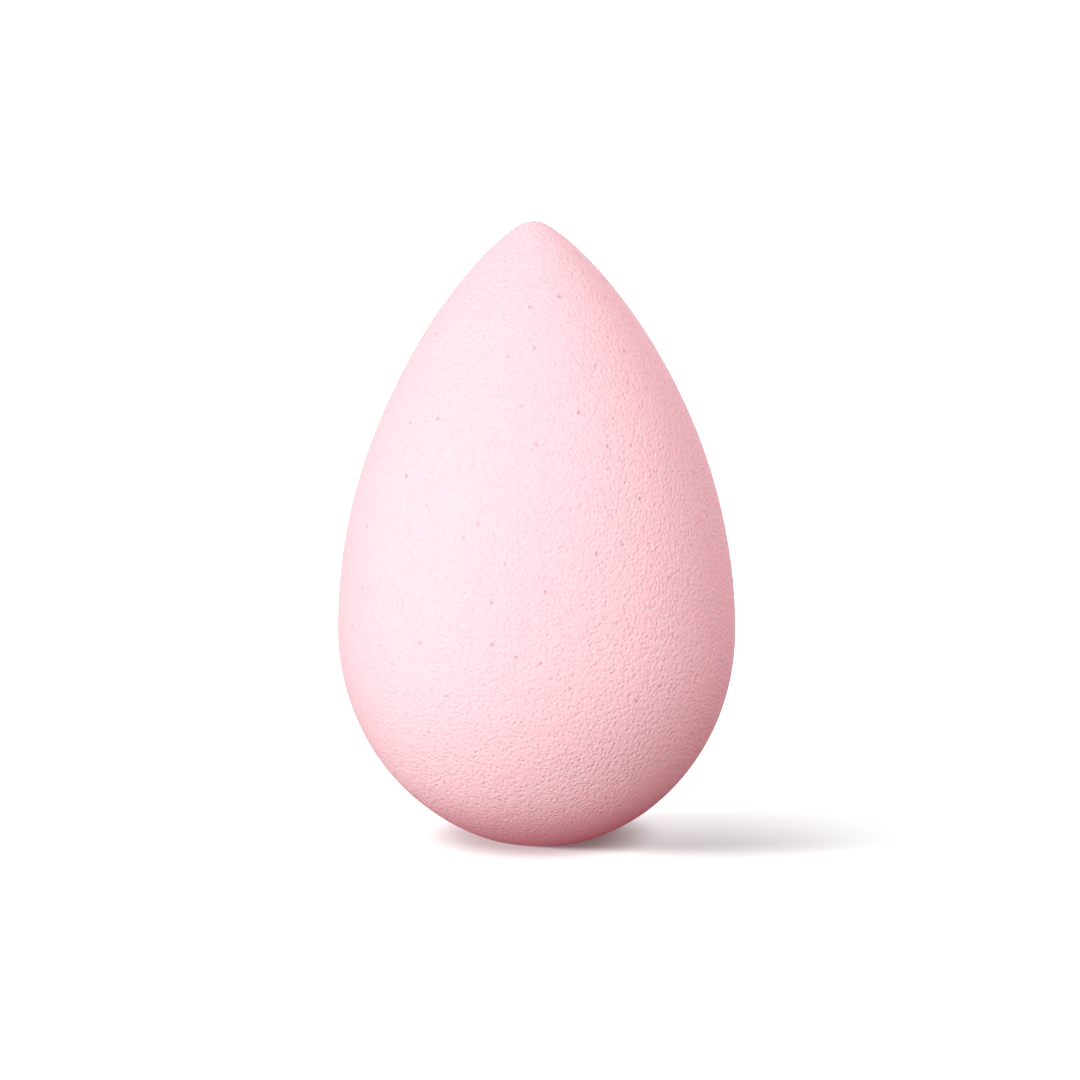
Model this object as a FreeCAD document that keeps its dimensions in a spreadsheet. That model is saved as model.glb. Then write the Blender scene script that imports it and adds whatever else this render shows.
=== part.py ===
"""An egg-shaped makeup sponge: one piece of open-cell foam, turned to a round base and a blunt point.

The frame has +Z up along the sponge's axis, with its origin at the middle of the flat foot.
Lengths are in millimetres and angles in degrees.
"""

import FreeCAD, Part

import math
import os
from enum import IntEnum

import Sketcher
from FreeCAD import Vector

PARTS_FOLDER = "parts"

# The foot is the small flat that the dry sponge stands on, and the belly its widest ring.
# The tip is the blunt point: an arc that the flank meets at tip_angle above the horizontal.
# Each share says how far the outline holds its direction, as part of the way to its other end:
# outwards and upwards from the foot's rim, down and up from the belly, and back from the tip.
SIZES = {
    "overall_height": 60.0,
    "belly_diameter": 38.4,
    "belly_height": 20.3,
    "foot_diameter": 11.0,
    "tip_radius": 2.7,
    "tip_angle": 58.0,
    "foot_out_share": 0.67,
    "foot_up_share": 0.168,
    "belly_down_share": 0.41,
    "belly_up_share": 0.495,
    "tip_back_share": 0.176,
}

# The outline's two curves are cubics, each with a pole at its ends and two that bend it between them.
CUBIC = 3
BASE_POLES = ("foot_rim", "foot_hold", "belly_lower_hold", "belly")
FLANK_POLES = ("belly", "belly_upper_hold", "tip_hold", "tip_rim")


class Axis(IntEnum):
    """The sketcher's own numbers for its axes; the horizontal one starts at the origin."""

    HORIZONTAL = -1
    VERTICAL = -2


class Spot(IntEnum):
    """The sketcher's own numbers for the points of an edge."""

    START = 1
    END = 2
    CENTRE = 3


def make_sheet(doc):
    """The driving dimensions, each in a cell that has its name as its alias."""
    sheet = doc.addObject("Spreadsheet::Sheet", "Sizes")
    for row, (name, value) in enumerate(SIZES.items(), start=1):
        sheet.set(f"A{row}", name)
        sheet.set(f"B{row}", str(value))
        sheet.setAlias(f"B{row}", name)
    doc.recompute()
    return sheet


def pole_places():
    """Where each pole of the outline lies, as formulas for its distance from the axis and its height."""
    foot = "Sizes.foot_diameter / 2"
    belly = "Sizes.belly_diameter / 2"
    foot_out = f"Sizes.foot_out_share * ({belly} - {foot})"
    belly_z = "Sizes.belly_height"
    above_belly = f"(Sizes.overall_height - {belly_z})"
    tip_out = "cos(Sizes.tip_angle * 1 deg)"
    tip_up = "sin(Sizes.tip_angle * 1 deg)"
    tip_x = f"Sizes.tip_radius * {tip_out}"
    tip_z = f"Sizes.overall_height - Sizes.tip_radius * (1 - {tip_up})"
    tip_back = f"Sizes.tip_back_share * {above_belly}"
    return {
        "foot_rim": (foot, "0"),
        "foot_hold": (f"{foot} + {foot_out}", f"Sizes.foot_up_share * {belly_z}"),
        "belly_lower_hold": (belly, f"{belly_z} * (1 - Sizes.belly_down_share)"),
        "belly": (belly, belly_z),
        "belly_upper_hold": (belly, f"{belly_z} + Sizes.belly_up_share * {above_belly}"),
        "tip_hold": (f"{tip_x} + {tip_back} * {tip_up}", f"{tip_z} - {tip_back} * {tip_out}"),
        "tip_rim": (tip_x, tip_z),
    }


def bind(sketch, name, constraint, formula):
    """Adds a dimension to the sketch and ties it to a formula in the sheet's sizes."""
    sketch.renameConstraint(sketch.addConstraint(constraint), name)
    sketch.setExpression(f"Constraints.{name}", formula)


def pin(sketch, name, point, place):
    """Ties a point of the sketch, given as an edge's number and end, to its two formulas."""
    drawn = sketch.getPoint(*point)
    for axis, now, formula in zip("XY", drawn, place):
        if formula == "0":
            sketch.addConstraint(Sketcher.Constraint("PointOnObject", *point, Axis.HORIZONTAL))
        else:
            dimension = Sketcher.Constraint(f"Distance{axis}", Axis.HORIZONTAL, Spot.START, *point, now)
            bind(sketch, f"{name}_{axis}", dimension, formula)


def draw_curve(sketch, start, end, pole_names):
    """A cubic drawn straight between two points, ready for pins to bend it, and its poles by name."""
    poles = [start + (end - start) * (order / CUBIC) for order in range(CUBIC + 1)]
    curve = Part.BSplineCurve()
    curve.buildFromPolesMultsKnots(poles, [CUBIC + 1] * 2, [0, 1], False, CUBIC)
    edge = sketch.addGeometry(curve)
    sketch.exposeInternalGeometry(edge)
    return edge, {name: (edge + order, Spot.CENTRE) for order, name in enumerate(pole_names, start=1)}


def draw_tip(sketch, sheet):
    """The blunt point's arc, from the flank's end up to the axis."""
    centre = Vector(0, sheet.overall_height - sheet.tip_radius, 0)
    circle = Part.Circle(centre, Vector(0, 0, 1), sheet.tip_radius)
    edge = sketch.addGeometry(Part.ArcOfCircle(circle, math.radians(sheet.tip_angle), math.pi / 2))
    for spot in (Spot.CENTRE, Spot.END):
        sketch.addConstraint(Sketcher.Constraint("PointOnObject", edge, spot, Axis.VERTICAL))
    bind(sketch, "tip_radius", Sketcher.Constraint("Radius", edge, sheet.tip_radius), "Sizes.tip_radius")
    return edge


def draw_outline(sketch, sheet):
    """Half of the sponge's outline, closed along the axis and the foot."""
    middle = Vector(0, 0, 0)
    foot_rim = Vector(sheet.foot_diameter / 2, 0, 0)
    belly = Vector(sheet.belly_diameter / 2, sheet.belly_height, 0)
    tip = draw_tip(sketch, sheet)
    base, base_poles = draw_curve(sketch, foot_rim, belly, BASE_POLES)
    flank, flank_poles = draw_curve(sketch, belly, sketch.getPoint(tip, Spot.START), FLANK_POLES)
    axis = sketch.addGeometry(Part.LineSegment(sketch.getPoint(tip, Spot.END), middle))
    foot = sketch.addGeometry(Part.LineSegment(middle, foot_rim))
    loop = [base, flank, tip, axis, foot]
    for edge, following in zip(loop, loop[1:] + loop[:1]):
        sketch.addConstraint(Sketcher.Constraint("Coincident", edge, Spot.END, following, Spot.START))
    sketch.addConstraint(Sketcher.Constraint("Coincident", axis, Spot.END, Axis.HORIZONTAL, Spot.START))
    places = pole_places()
    for name, point in {**flank_poles, **base_poles}.items():
        pin(sketch, name, point, places[name])


def make_sponge(doc, sheet):
    """The foam body: half of its outline, turned once about the axis."""
    body = doc.addObject("PartDesign::Body", "sponge_body")
    upright = next(plane for plane in body.Origin.OriginFeatures if plane.Role == "XZ_Plane")
    sketch = body.newObject("Sketcher::SketchObject", "half_outline")
    sketch.AttachmentSupport = (upright, [""])
    sketch.MapMode = "FlatFace"
    draw_outline(sketch, sheet)
    doc.recompute()
    turned = body.newObject("PartDesign::Revolution", "turned_foam")
    turned.Profile = sketch
    turned.ReferenceAxis = (sketch, ["V_Axis"])
    turned.Angle = 360
    return body


def check(doc, bodies):
    """Stops before anything is written if an object failed, a sketch is loose or a body isn't one solid."""
    failed = [item.Name for item in doc.Objects if {"Invalid", "Error"} & set(item.State)]
    if failed:
        raise RuntimeError(f"these objects failed: {failed}")
    sketches = [item for item in doc.Objects if item.isDerivedFrom("Sketcher::SketchObject")]
    loose = [sketch.Name for sketch in sketches if not sketch.FullyConstrained]
    if loose:
        raise RuntimeError(f"these sketches aren't fully constrained: {loose}")
    for body in bodies:
        shape = body.Shape
        if shape.isNull() or not shape.isValid() or len(shape.Solids) != 1:
            raise RuntimeError(f"{body.Label} is not one valid solid")


def main():
    """Builds the document and writes one file for each piece."""
    doc = FreeCAD.newDocument("makeup_sponge")
    sheet = make_sheet(doc)
    bodies = [make_sponge(doc, sheet)]
    doc.recompute()
    check(doc, bodies)
    os.makedirs(PARTS_FOLDER, exist_ok=True)
    for body in bodies:
        body.Shape.exportStep(os.path.join(PARTS_FOLDER, f"{body.Label}.step"))
        box = body.Shape.BoundBox
        print(f"{body.Label}: {box.XLength:.2f} x {box.YLength:.2f} x {box.ZLength:.2f} mm,",
              f"{body.Shape.Volume:.0f} mm3")


main()
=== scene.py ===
"""A pale pink foam makeup sponge, standing on its round end on a white studio floor.

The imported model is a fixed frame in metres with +Z up. One mesh of foam replaces its plain solid. The
camera looks along +Y from a little above, with +X to the right.
"""

import logging
import math
from dataclasses import dataclass, field
from enum import Enum, IntEnum
from typing import Any

import bpy
import numpy as np
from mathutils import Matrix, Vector, noise


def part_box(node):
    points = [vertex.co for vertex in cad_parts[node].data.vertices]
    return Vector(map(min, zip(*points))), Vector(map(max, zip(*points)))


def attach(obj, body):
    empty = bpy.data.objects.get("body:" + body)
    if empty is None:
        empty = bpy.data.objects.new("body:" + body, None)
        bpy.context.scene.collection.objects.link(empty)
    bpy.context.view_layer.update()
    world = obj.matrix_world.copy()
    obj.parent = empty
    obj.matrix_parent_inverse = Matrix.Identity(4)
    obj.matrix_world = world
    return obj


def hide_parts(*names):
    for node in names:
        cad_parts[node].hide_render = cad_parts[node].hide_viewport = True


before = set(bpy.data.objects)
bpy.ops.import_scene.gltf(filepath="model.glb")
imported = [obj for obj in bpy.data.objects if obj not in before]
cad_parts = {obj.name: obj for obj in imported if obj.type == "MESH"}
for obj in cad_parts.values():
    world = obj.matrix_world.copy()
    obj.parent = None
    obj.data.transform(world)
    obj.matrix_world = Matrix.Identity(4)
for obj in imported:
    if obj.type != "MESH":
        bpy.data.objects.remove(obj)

LOG = logging.getLogger("makeup_sponge")

MM = 0.001
TINY = 1e-9
AXES = 3
PHOTO_PIXELS = 1080

WHITE = "#FFFFFF"
# The tint of the lamps on the shaded side, for the light that real foam passes through to that side.
BLUSH = "#FFDEE3"

# The sRGB curve is a straight line up to its knee and a power above it.
SRGB_KNEE = 0.04045
SRGB_SLOPE = 12.92
SRGB_OFFSET = 0.055
SRGB_POWER = 2.4


class Option(Enum):
    """Blender's own words for the options that the nodes are set to."""

    TIMES = "MULTIPLY"
    TIMES_PLUS = "MULTIPLY_ADD"
    LARGER = "MAXIMUM"
    LENGTH = "LENGTH"
    SMOOTH = "SMOOTHSTEP"
    COLOUR = "RGBA"


class Mixer(IntEnum):
    """The numbers of a Mix node's colour sockets, whose names belong to other sockets too."""

    SHARE = 0
    FIRST = 6
    SECOND = 7
    RESULT = 2


def linear(hex_colour: str) -> tuple[float, float, float, float]:
    """Turns an sRGB hex colour to linear light.

    Args:
        hex_colour: Six hex digits after a hash sign.

    Returns:
        Red, green, blue and a full alpha.
    """
    parts = [int(hex_colour[start:start + 2], 16) / 255 for start in (1, 3, 5)]
    red, green, blue = (
        part / SRGB_SLOPE if part <= SRGB_KNEE else ((part + SRGB_OFFSET) / (1 + SRGB_OFFSET)) ** SRGB_POWER
        for part in parts
    )
    return red, green, blue, 1.0


def add_node(tree: bpy.types.NodeTree, kind: str, sockets: dict[int | str, Any] | None = None,
             **settings: Option) -> bpy.types.Node:
    """Adds a node with its settings and links.

    Args:
        tree: The node tree that takes the node.
        kind: The node's type name, without its ShaderNode prefix.
        sockets: For each input, by name or number, its value or the output that feeds it.
        **settings: The options of the node's own properties.

    Returns:
        The new node.
    """
    node = tree.nodes.new(f"ShaderNode{kind}")
    for name, option in settings.items():
        setattr(node, name, option.value)
    for socket, value in (sockets or {}).items():
        if isinstance(value, bpy.types.NodeSocket):
            tree.links.new(value, node.inputs[socket])
        else:
            node.inputs[socket].default_value = value
    return node


def new_material(name: str) -> tuple[bpy.types.Material, bpy.types.NodeTree]:
    """Makes a material with an empty node tree.

    Args:
        name: The material's name.

    Returns:
        The material and its tree.
    """
    material = bpy.data.materials.new(name)
    material.use_nodes = True
    material.node_tree.nodes.clear()
    return material, material.node_tree


def seen_directly(tree: bpy.types.NodeTree) -> bpy.types.NodeSocket:
    """Tells the rays that show a surface from those that carry its light.

    Args:
        tree: The node tree that takes the nodes.

    Returns:
        An output that is one for what the camera, a gloss or a glass sees, and zero elsewhere.
    """
    path = add_node(tree, "LightPath").outputs
    mirrored = {0: path["Is Glossy Ray"], 1: path["Is Transmission Ray"]}
    gloss = add_node(tree, "Math", mirrored, operation=Option.LARGER).outputs[0]
    shown = {0: path["Is Camera Ray"], 1: gloss}
    return add_node(tree, "Math", shown, operation=Option.LARGER).outputs[0]


def add_object(name: str, data: bpy.types.ID) -> bpy.types.Object:
    """Makes an object of some data and links it to the scene.

    Args:
        name: The object's name.
        data: Its mesh, lamp or camera.

    Returns:
        The new object.
    """
    thing = bpy.data.objects.new(name, data)
    bpy.context.scene.collection.objects.link(thing)
    return thing


@dataclass(frozen=True)
class FoamFinish:
    """Hydrophilic polyurethane foam, foamed with water and ground to shape.

    Light spreads a little under its cut cells, so to the eye it is matte and soft, with no gloss. The open
    cells give it a fine orange peel, with pinholes where cells are cut wide. The cells are a little taller
    than wide, because the foam rose as it set. The colour paints shade into the cells, the pinholes and the
    foot.
    """

    skin: str = "#EBCDD3"
    # Painted shade: the hollows of the cells take a slightly deeper pink.
    pit_with_painted_shade: str = "#E8CAD0"
    mottle: str = "#E9CAD1"
    # Painted shade: the foam turns a deeper pink towards the foot, where it meets the floor.
    painted_foot_shade: str = "#CE9DA7"
    # Painted shade: the pinholes take a darker, greyer pink.
    pinhole_with_painted_shade: str = "#D8B7BE"
    mottle_mm: float = 6.0
    mottle_detail: float = 3.0
    painted_foot_shade_mm: float = 8.0
    rise_stretch: float = 1.1
    # The real cells and grit are too fine to show in the render, so both are drawn coarser.
    cell_mm: float = 0.38
    cell_share: float = 0.62
    cell_depth_mm: float = 0.064
    grit_mm: float = 0.33
    grit_detail: float = 1.0
    grit_depth_mm: float = 0.085
    pinhole_spacing_mm: float = 2.1
    pinhole_radius_mm: float = 0.2
    pinhole_floor_mm: float = 0.1
    pinhole_depth_mm: float = 0.08
    roughness: float = 0.95
    ior: float = 1.45
    gloss: float = 0.1
    scatter: float = 0.2
    scatter_mm: float = 1.5
    scatter_shares: tuple[float, float, float] = (1.0, 0.5, 0.5)

    def material(self) -> bpy.types.Material:
        """Builds the foam's material.

        Returns:
            The material.
        """
        material, tree = new_material("hydrophilic_polyurethane_foam")
        place = add_node(tree, "TexCoord").outputs["Object"]
        squeezed = {"Vector": place, "Scale": (1.0, 1.0, 1 / self.rise_stretch)}
        cells = add_node(tree, "Mapping", squeezed).outputs[0]
        pit_with_painted_shade = self.hollows(tree, cells, self.cell_mm, self.cell_share)
        rim = self.pinhole_radius_mm / self.pinhole_spacing_mm
        floor = self.pinhole_floor_mm / self.pinhole_spacing_mm
        pinhole_with_painted_shade = self.hollows(tree, place, self.pinhole_spacing_mm, rim, floor)
        foam = add_node(tree, "BsdfPrincipled", {
            "Base Color": self.colour(tree, place, pit_with_painted_shade, pinhole_with_painted_shade),
            "Normal": self.relief(tree, cells, pit_with_painted_shade, pinhole_with_painted_shade),
            "Roughness": self.roughness,
            "IOR": self.ior,
            "Specular IOR Level": self.gloss,
            "Subsurface Weight": self.scatter,
            "Subsurface Radius": self.scatter_shares,
            "Subsurface Scale": self.scatter_mm * MM,
        })
        add_node(tree, "OutputMaterial", {"Surface": foam.outputs[0]})
        return material

    def hollows(self, tree: bpy.types.NodeTree, place: bpy.types.NodeSocket, spacing_mm: float,
                rim_share: float, floor_share: float = 0.0) -> bpy.types.NodeSocket:
        """Scatters round hollows over the foam.

        Args:
            tree: The material's node tree.
            place: The point's place on the sponge.
            spacing_mm: About how far the hollows lie apart.
            rim_share: The radius of a hollow's rim, as a share of the spacing.
            floor_share: The radius of its deepest part, as a share of the spacing.

        Returns:
            An output that is one in the depth of a hollow and zero outside it.
        """
        bubbles = add_node(tree, "TexVoronoi", {"Vector": place, "Scale": 1 / (spacing_mm * MM)})
        hollow = {
            "Value": bubbles.outputs["Distance"],
            "From Min": floor_share,
            "From Max": rim_share,
            "To Min": 1.0,
            "To Max": 0.0,
        }
        return add_node(tree, "MapRange", hollow, interpolation_type=Option.SMOOTH).outputs[0]

    def colour(self, tree: bpy.types.NodeTree, place: bpy.types.NodeSocket, pit_with_painted_shade: bpy.types.NodeSocket,
               pinhole_with_painted_shade: bpy.types.NodeSocket) -> bpy.types.NodeSocket:
        """Colours the foam: a mottled skin, with painted shade towards the foot, in the cells and in the
        pinholes.

        Args:
            tree: The material's node tree.
            place: The point's place on the sponge.
            pit_with_painted_shade: One in the depth of a cell and zero on its wall.
            pinhole_with_painted_shade: One inside the hole and zero outside.

        Returns:
            The colour output.
        """
        cloudy = {"Vector": place, "Scale": 1 / (self.mottle_mm * MM), "Detail": self.mottle_detail}
        cloud = add_node(tree, "TexNoise", cloudy).outputs[0]
        height = add_node(tree, "SeparateXYZ", {"Vector": place}).outputs["Z"]
        low = {
            "Value": height,
            "From Min": 0.0,
            "From Max": self.painted_foot_shade_mm * MM,
            "To Min": 1.0,
            "To Max": 0.0,
        }
        painted_foot_shade_share = add_node(tree, "MapRange", low, interpolation_type=Option.SMOOTH).outputs[0]
        dyes = (
            (cloud, self.mottle),
            # Painted shade in the hollows of the cells.
            (pit_with_painted_shade, self.pit_with_painted_shade),
            # Painted shade towards the foot.
            (painted_foot_shade_share, self.painted_foot_shade),
            # Painted shade in the pinholes.
            (pinhole_with_painted_shade, self.pinhole_with_painted_shade),
        )
        colour = linear(self.skin)
        for share, dye in dyes:
            blend = {Mixer.SHARE: share, Mixer.FIRST: colour, Mixer.SECOND: linear(dye)}
            colour = add_node(tree, "Mix", blend, data_type=Option.COLOUR).outputs[Mixer.RESULT]
        return colour

    def relief(self, tree: bpy.types.NodeTree, place: bpy.types.NodeSocket, pit_with_painted_shade: bpy.types.NodeSocket,
               pinhole_with_painted_shade: bpy.types.NodeSocket) -> bpy.types.NodeSocket:
        """Pits the foam: a hollow in each cell, a finer grit over it, and the pinholes.

        Args:
            tree: The material's node tree.
            place: The point's place on the sponge.
            pit_with_painted_shade: One in the depth of a cell and zero on its wall.
            pinhole_with_painted_shade: One inside the hole and zero outside.

        Returns:
            The normal output.
        """
        gritty = {"Vector": place, "Scale": 1 / (self.grit_mm * MM), "Detail": self.grit_detail}
        grit = add_node(tree, "TexNoise", gritty).outputs[0]
        height = add_node(tree, "Math", {0: grit, 1: self.grit_depth_mm}, operation=Option.TIMES).outputs[0]
        for hollow, depth_mm in ((pit_with_painted_shade, self.cell_depth_mm), (pinhole_with_painted_shade, self.pinhole_depth_mm)):
            dug = {0: hollow, 1: -depth_mm, 2: height}
            height = add_node(tree, "Math", dug, operation=Option.TIMES_PLUS).outputs[0]
        # The heights are in millimetres, which the bump's distance turns to metres.
        return add_node(tree, "Bump", {"Height": height, "Distance": MM, "Strength": 1.0}).outputs[0]


@dataclass(frozen=True)
class PaperFinish:
    """Background paper, pressed smooth, matte and white to the eye. Lengths are in metres.

    Where it is seen it glows. The glow is painted light that shapes the sponge's shadow: it is least in front
    and rises to the back and far off, so that the shadow is darkest in front and fades out. By the foot it is
    lower still and pink, a painted contact shadow. For the sponge it glows pink, painted light that stands in
    for the light that passes to and fro between the two.
    """

    shown: str = "#B4B4B4"
    bounced: str = "#5E5E5E"
    # Painted contact shadow: the paper's pink tint close to the foot, and how far it reaches.
    painted_contact_shadow: str = "#C9AAB1"
    # Painted light: the pink that the paper glows with for the sponge, from below.
    painted_pink_uplight: str = "#A95E63"
    # Painted light shapes the shadow: the glow in its darkest front, rising to the back and to white far off.
    shadow_glow: float = 0.55
    painted_contact_shadow_share: float = 0.35
    painted_contact_shadow_from: float = 5.5 * MM
    painted_contact_shadow_to: float = 13 * MM
    shadow_front: float = -4 * MM
    shadow_back: float = 13 * MM
    white_from: float = 15 * MM
    white_at: float = 40 * MM

    def material(self) -> bpy.types.Material:
        """Builds the paper's material.

        Returns:
            The material.
        """
        material, tree = new_material("matte_background_paper")
        place = add_node(tree, "TexCoord").outputs["Object"]
        seen = seen_directly(tree)
        away = add_node(tree, "VectorMath", {0: place}, operation=Option.LENGTH).outputs["Value"]
        back = add_node(tree, "SeparateXYZ", {"Vector": place}).outputs["Y"]
        # Painted light: the glow rises from the front of the shadow to its back, so the shadow fades to the
        # back.
        shadow = add_node(tree, "MapRange", {
            "Value": back,
            "From Min": self.shadow_front,
            "From Max": self.shadow_back,
            "To Min": self.shadow_glow,
            "To Max": 1.0,
        }).outputs[0]
        # Painted light: farther off the glow rises to full white, which fades the shadow out.
        white = add_node(tree, "MapRange", {
            "Value": away,
            "From Min": self.white_from,
            "From Max": self.white_at,
            "To Min": shadow,
            "To Max": 1.0,
        }, interpolation_type=Option.SMOOTH).outputs[0]
        # Painted contact shadow: close to the foot the glow falls to a share of itself and the paper turns
        # pink.
        outside_painted_contact_shadow = add_node(tree, "MapRange", {
            "Value": away,
            "From Min": self.painted_contact_shadow_from,
            "From Max": self.painted_contact_shadow_to,
            "To Min": self.painted_contact_shadow_share,
            "To Max": 1.0,
        }, interpolation_type=Option.SMOOTH).outputs[0]
        shine = add_node(tree, "Math", {0: outside_painted_contact_shadow, 1: white}, operation=Option.TIMES).outputs[0]
        # For rays that are not seen directly the paper glows at full strength, the painted pink uplight.
        strength = add_node(tree, "MapRange", {"Value": seen, "To Min": 1.0, "To Max": shine}).outputs[0]
        # The tint runs from the painted contact shadow's pink by the foot to white farther off.
        painted_contact_tinting = {Mixer.SHARE: outside_painted_contact_shadow, Mixer.FIRST: linear(self.painted_contact_shadow), Mixer.SECOND: linear(WHITE)}
        tint = add_node(tree, "Mix", painted_contact_tinting, data_type=Option.COLOUR).outputs[Mixer.RESULT]
        grey = {Mixer.SHARE: seen, Mixer.FIRST: linear(self.bounced), Mixer.SECOND: linear(self.shown)}
        plain = add_node(tree, "Mix", grey, data_type=Option.COLOUR).outputs[Mixer.RESULT]
        dyed = {Mixer.SHARE: 1.0, Mixer.FIRST: plain, Mixer.SECOND: tint}
        colour = add_node(tree, "Mix", dyed, data_type=Option.COLOUR, blend_type=Option.TIMES)
        # Painted light: rays that are not seen directly find the paper glowing pink, which lights the sponge
        # from below.
        painted_glow_colours = {Mixer.SHARE: seen, Mixer.FIRST: linear(self.painted_pink_uplight), Mixer.SECOND: tint}
        painted_glow_hue = add_node(tree, "Mix", painted_glow_colours, data_type=Option.COLOUR)
        paper = add_node(tree, "BsdfDiffuse", {"Color": colour.outputs[Mixer.RESULT]})
        light = add_node(tree, "Emission", {"Color": painted_glow_hue.outputs[Mixer.RESULT], "Strength": strength})
        both = add_node(tree, "AddShader", {0: paper.outputs[0], 1: light.outputs[0]})
        add_node(tree, "OutputMaterial", {"Surface": both.outputs[0]})
        return material


@dataclass
class SpongeBody:
    """The foam egg: its outline, its fine relief and its finish. Lengths are in metres.

    The outline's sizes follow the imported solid, whose corners give the height and the belly's width.
    """

    low: Vector
    high: Vector
    belly_height: float = 20.3 * MM
    foot_radius: float = 5.5 * MM
    tip_radius: float = 2.7 * MM
    tip_angle: float = math.radians(58.0)
    foot_out_share: float = 0.67
    foot_up_share: float = 0.168
    belly_down_share: float = 0.41
    belly_up_share: float = 0.495
    tip_back_share: float = 0.176
    foot_softness: float = 0.08 * MM
    tip_lean: float = -0.3 * MM
    tip_lean_power: int = 4
    base_lean: float = 0.3 * MM
    swell_span: float = 14.0 * MM
    swell_depth: float = 0.08 * MM
    cell_span: float = 0.95 * MM
    cell_rim_share: float = 0.62
    cell_depth: float = 0.03 * MM
    plain_foot_share: float = 0.25
    quads: int = 128
    outline_steps: int = 400
    tile_margin: float = 0.006
    finish: FoamFinish = field(default_factory=FoamFinish)

    @property
    def height(self) -> float:
        """The sponge's height."""
        return self.high.z - self.low.z

    @property
    def belly_radius(self) -> float:
        """The radius of the widest ring."""
        return (self.high.x - self.low.x) / 2

    def curve(self, poles: list[tuple[float, float]]) -> np.ndarray:
        """Walks along a cubic curve.

        Args:
            poles: Its four poles, each a radius and a height.

        Returns:
            One row of radius and height for each step.
        """
        along = np.linspace(0, 1, self.outline_steps)[:, None]
        rest = 1 - along
        weights = rest ** 3, 3 * along * rest ** 2, 3 * along ** 2 * rest, along ** 3
        return sum(weight * np.array(pole) for weight, pole in zip(weights, poles))

    def outline(self) -> np.ndarray:
        """Draws half of the outline from the middle of the foot to the tip.

        Returns:
            One row of radius and height for each step.
        """
        above = self.height - self.belly_height
        out = math.cos(self.tip_angle)
        up = math.sin(self.tip_angle)
        foot = (self.foot_radius, 0.0)
        foot_hold = (self.foot_radius + self.foot_out_share * (self.belly_radius - self.foot_radius),
                     self.foot_up_share * self.belly_height)
        belly_lower = (self.belly_radius, self.belly_height * (1 - self.belly_down_share))
        belly = (self.belly_radius, self.belly_height)
        belly_upper = (self.belly_radius, self.belly_height + self.belly_up_share * above)
        tip = (self.tip_radius * out, self.height - self.tip_radius * (1 - up))
        back = self.tip_back_share * above
        tip_hold = (tip[0] + back * up, tip[1] - back * out)
        slope = (foot_hold[1] - foot[1]) / (foot_hold[0] - foot[0])
        under = np.linspace(0, self.foot_radius, self.outline_steps)
        flat = np.stack([under, (under - self.foot_radius) * slope], axis=1)
        turn = np.linspace(self.tip_angle, math.pi / 2, self.outline_steps)
        nose = np.stack([np.cos(turn), np.sin(turn)], axis=1) * self.tip_radius
        nose[:, 1] += self.height - self.tip_radius
        base = self.curve([foot, foot_hold, belly_lower, belly])
        flank = self.curve([belly, belly_upper, tip_hold, tip])
        line = np.concatenate([flat, base[1:], flank[1:], nose[1:]])
        # The base runs on below the floor, and the foot is where it is pressed flat, with a soft rim.
        line[:, 1] = (line[:, 1] + np.sqrt(line[:, 1] ** 2 + self.foot_softness ** 2)) / 2
        line[-1, 0] = 0.0
        return line

    def lattice(self) -> tuple[np.ndarray, np.ndarray, np.ndarray]:
        """Lays a square grid on each side of a cube.

        Returns:
            The cube's surface points from -1 to 1, four corners for each square, and the place of
            each of those corners in the bake's map.
        """
        count = self.quads
        knots = count + 1
        across, along = np.meshgrid(np.arange(knots), np.arange(knots), indexing="ij")
        # The map has a column for each axis of the cube and a row for each of the axis's two sides.
        tiles = np.array([AXES, 2])
        tile = np.stack([across, along], -1) / count
        span = 1 / tiles - 2 * self.tile_margin
        grids = []
        squares = []
        spreads = []
        for side in range(2 * AXES):
            far, axis = divmod(side, AXES)
            grid = np.empty((knots, knots, AXES), dtype=np.int64)
            grid[..., axis] = far * count
            grid[..., (axis + 1) % AXES] = across if far else along
            grid[..., (axis + 2) % AXES] = along if far else across
            numbers = np.arange(knots ** 2).reshape(knots, knots) + side * knots ** 2
            square = (numbers[:-1, :-1], numbers[1:, :-1], numbers[1:, 1:], numbers[:-1, 1:])
            grids.append(grid.reshape(-1, AXES))
            squares.append(np.stack(square, -1).reshape(-1, len(square)))
            spreads.append((tile * span + np.array([axis, far]) / tiles + self.tile_margin).reshape(-1, 2))
        corners = np.concatenate(squares)
        places = np.concatenate(spreads)[corners.ravel()]
        merged, back = np.unique(np.concatenate(grids), axis=0, return_inverse=True)
        return merged / count * 2 - 1, back.reshape(-1)[corners], places

    def relief(self, spots: np.ndarray) -> np.ndarray:
        """Works out how far the foam stands off its smooth outline.

        Args:
            spots: Points on the smooth outline.

        Returns:
            For each point, a height along its normal.
        """
        heights = np.empty(len(spots))
        for number, spot in enumerate(spots):
            place = Vector(spot)
            nearest = noise.voronoi(place / self.cell_span)[0][0]
            hollow = max(0.0, 1 - nearest / self.cell_rim_share) ** 2
            swell = self.swell_depth * noise.noise(place / self.swell_span)
            heights[number] = swell - self.cell_depth * hollow
        return heights

    def mesh(self) -> bpy.types.Mesh:
        """Wraps the grid round the outline and raises the foam's relief on it.

        Returns:
            The mesh, with its map for the bake.
        """
        cube, corners, places = self.lattice()
        ways = np.tan(cube * math.pi / 4)
        ways /= np.linalg.norm(ways, axis=1)[:, None]
        line = self.outline()
        steps = np.diff(line, axis=0)
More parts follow.
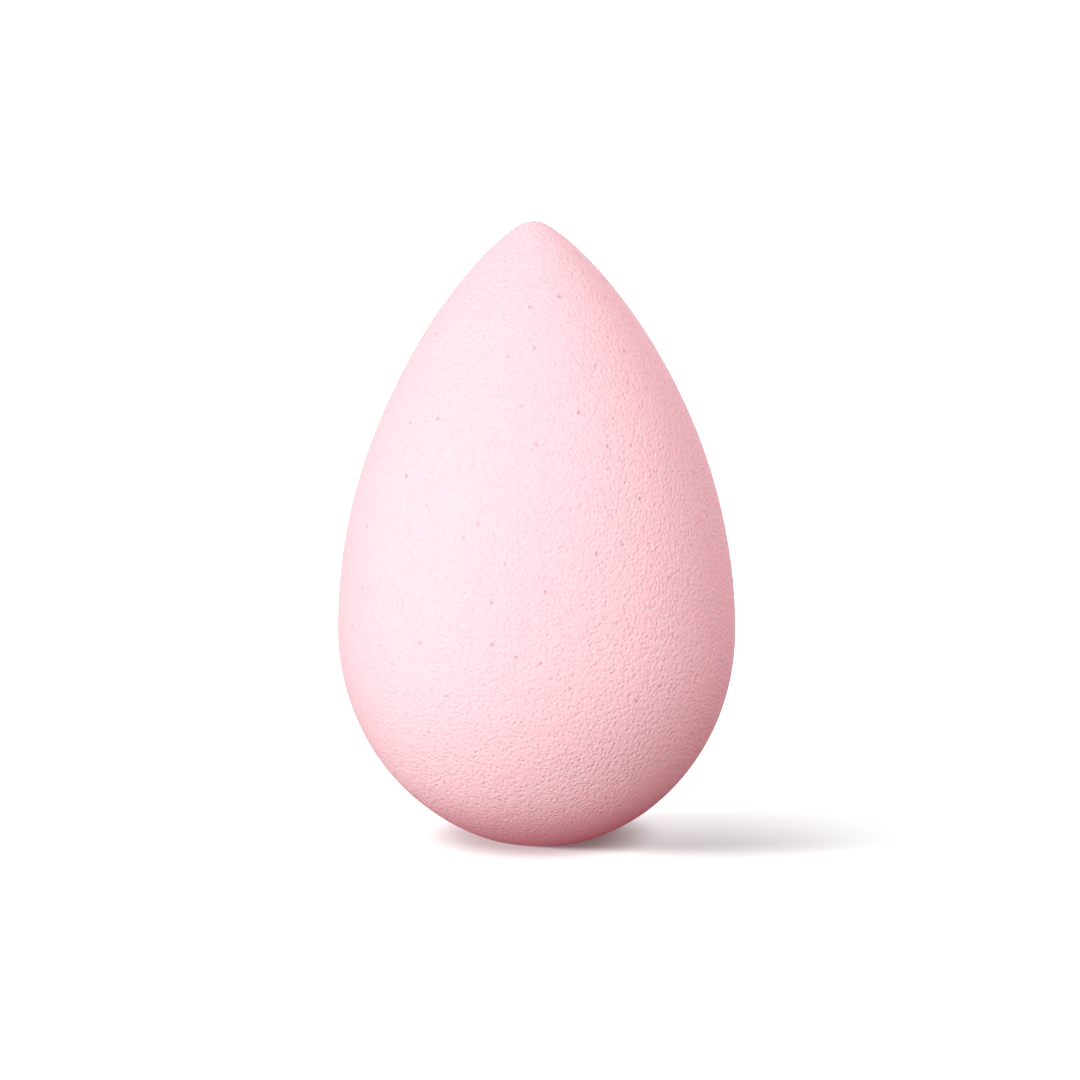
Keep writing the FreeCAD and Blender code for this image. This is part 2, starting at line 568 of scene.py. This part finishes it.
        # Each height on a ball goes to the place on the outline with the same share of surface below it.
        areas = (line[:-1, 0] + line[1:, 0]) * np.hypot(*steps.T)
        share = np.concatenate([[0], np.cumsum(areas)]) / areas.sum()
        normals = np.gradient(line, axis=0)[:, ::-1] * (1, -1)
        normals /= np.linalg.norm(normals, axis=1)[:, None]
        level = (1 + ways[:, 2]) / 2
        radius, height, out, up = (np.interp(level, share, row) for row in (*line.T, *normals.T))
        flat = ways[:, :2] / np.maximum(np.linalg.norm(ways[:, :2], axis=1), TINY)[:, None]
        spots = np.column_stack([flat * radius[:, None], height])
        facing = np.column_stack([flat * out[:, None], up])
        settled = np.clip(height / (self.belly_height * self.plain_foot_share), 0, 1)
        spots += facing * (self.relief(spots) * settled)[:, None]
        over = np.clip((height - self.belly_height) / (self.height - self.belly_height), 0, 1)
        under = np.clip(1 - height / self.belly_height, 0, 1)
        spots[:, 0] += self.tip_lean * over ** self.tip_lean_power + self.base_lean * under
        spots[:, 2] = np.maximum(spots[:, 2], 0)
        mesh = bpy.data.meshes.new("foam_egg")
        mesh.from_pydata(spots.tolist(), [], corners.tolist())
        layer = mesh.uv_layers.new(name="OFBake")
        layer.uv.foreach_set("vector", places.astype(np.float32).ravel())
        mesh.shade_smooth()
        return mesh

    def build(self) -> bpy.types.Object:
        """Makes the foam piece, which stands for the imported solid.

        Returns:
            The foam.
        """
        foam = add_object("foam_egg", self.mesh())
        foam.data.materials.append(self.finish.material())
        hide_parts("sponge_body")
        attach(foam, "root")
        return foam


@dataclass(frozen=True)
class SoftBox:
    """A studio lamp with a rectangular cloth front. Lengths are in metres, angles in degrees.

    The azimuth runs from the camera's side round to the right, and the elevation from the horizon up.
    """

    name: str
    azimuth: float
    elevation: float
    width: float
    height: float
    watts: float
    distance: float = 0.6
    colour: str = WHITE

    def hang(self, target: Vector, lit: bpy.types.Object) -> None:
        """Hangs the lamp so that it faces a point and lights one thing alone.

        Args:
            target: The point that it faces.
            lit: What it lights.
        """
        around = math.radians(self.azimuth)
        up = math.radians(self.elevation)
        way = Vector((math.sin(around) * math.cos(up), -math.cos(around) * math.cos(up), math.sin(up)))
        data = bpy.data.lights.new(self.name, "AREA")
        data.shape = "RECTANGLE"
        data.size = self.width
        data.size_y = self.height
        data.energy = self.watts
        data.color = linear(self.colour)[:3]
        lamp = add_object(self.name, data)
        lamp.location = target + way * self.distance
        lamp.rotation_euler = way.to_track_quat("Z", "Y").to_euler()
        lamp.light_linking.receiver_collection = bpy.data.collections.new(f"{self.name}_lights")
        lamp.light_linking.receiver_collection.objects.link(lit)


@dataclass
class Studio:
    """The floor, lamps, surrounding light and camera. Lengths are in metres, angles in degrees."""

    middle: Vector = field(default_factory=lambda: Vector((0, 0, 30 * MM)))
    floor_side: float = 6.0
    surround: float = 0.05
    softboxes: tuple[SoftBox, ...] = (
        SoftBox("key_softbox", azimuth=-27, elevation=17, width=0.45, height=0.3, watts=4.55),
        SoftBox("left_softbox", azimuth=-95, elevation=6, width=0.3, height=0.2, watts=0.91),
        SoftBox("fill_softbox", azimuth=60, elevation=14, width=0.3, height=0.3, watts=0.65, colour=BLUSH),
        SoftBox("right_softbox", azimuth=90, elevation=45, width=0.3, height=0.3, watts=1.98, colour=BLUSH),
        SoftBox("back_softbox", azimuth=180, elevation=35, width=0.8, height=0.5, watts=3.6),
    )
    floor_softbox: SoftBox = SoftBox(
        "floor_softbox", azimuth=-86, elevation=6, width=0.5, height=0.2, watts=205.0, distance=1.5)
    view_elevation: float = 11.0
    view_distance: float = 0.6
    focal_pixels: float = 6228.0
    middle_pixel: tuple[float, float] = (536.5, 530.0)
    paper: PaperFinish = field(default_factory=PaperFinish)

    def build_floor(self) -> bpy.types.Object:
        """Lays the paper that the sponge stands on.

        Returns:
            The floor.
        """
        half = self.floor_side / 2
        rim = [(-half, -half, 0), (half, -half, 0), (half, half, 0), (-half, half, 0)]
        mesh = bpy.data.meshes.new("floor_paper")
        mesh.from_pydata(rim, [], [range(len(rim))])
        floor = add_object("floor_paper", mesh)
        mesh.materials.append(self.paper.material())
        return floor

    def build_lights(self, foam: bpy.types.Object, floor: bpy.types.Object) -> None:
        """Hangs the lamps and sets the even light that surrounds the sponge.

        Args:
            foam: The sponge, which the softboxes light.
            floor: The paper, which has a low lamp of its own, so that one shadow falls on it.
        """
        for box in self.softboxes:
            box.hang(self.middle, foam)
        self.floor_softbox.hang(self.middle, floor)
        world = bpy.data.worlds.new("white_studio")
        bpy.context.scene.world = world
        world.use_nodes = True
        tree = world.node_tree
        tree.nodes.clear()
        seen = {"Value": seen_directly(tree), "To Min": self.surround, "To Max": 1.0}
        strength = add_node(tree, "MapRange", seen).outputs[0]
        sky = add_node(tree, "Background", {"Color": linear(WHITE), "Strength": strength})
        add_node(tree, "OutputWorld", {"Surface": sky.outputs[0]})

    def build_camera(self) -> None:
        """Sets the camera at the photograph's place, aimed so that the sponge's middle falls on its pixel."""
        up = math.radians(self.view_elevation)
        back = Vector((0, -math.cos(up), math.sin(up)))
        data = bpy.data.cameras.new("camera")
        data.lens = data.sensor_width * self.focal_pixels / PHOTO_PIXELS
        camera = add_object("camera", data)
        camera.location = self.middle + back * self.view_distance
        right = Vector((1, 0, 0))
        top = Vector((0, math.sin(up), math.cos(up)))
        half = PHOTO_PIXELS / 2
        across, down = self.middle_pixel
        per_pixel = self.view_distance / self.focal_pixels
        aim = self.middle + (right * (half - across) + top * (down - half)) * per_pixel
        camera.rotation_euler = (camera.location - aim).to_track_quat("Z", "Y").to_euler()
        bpy.context.scene.camera = camera

    def build(self, foam: bpy.types.Object) -> None:
        """Sets up everything round the sponge.

        Args:
            foam: The sponge.
        """
        self.build_lights(foam, self.build_floor())
        self.build_camera()
        bpy.context.scene.view_settings.view_transform = "Standard"


def main() -> None:
    """Builds the sponge and its studio."""
    logging.basicConfig(level=logging.INFO, format="%(name)s: %(message)s")
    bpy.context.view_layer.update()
    low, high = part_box("sponge_body")
    foam = SpongeBody(Vector(low), Vector(high)).build()
    LOG.info("%s has %d faces", foam.name, len(foam.data.polygons))
    Studio().build(foam)
    LOG.info("studio is set")


if __name__ == "__main__":
    main()
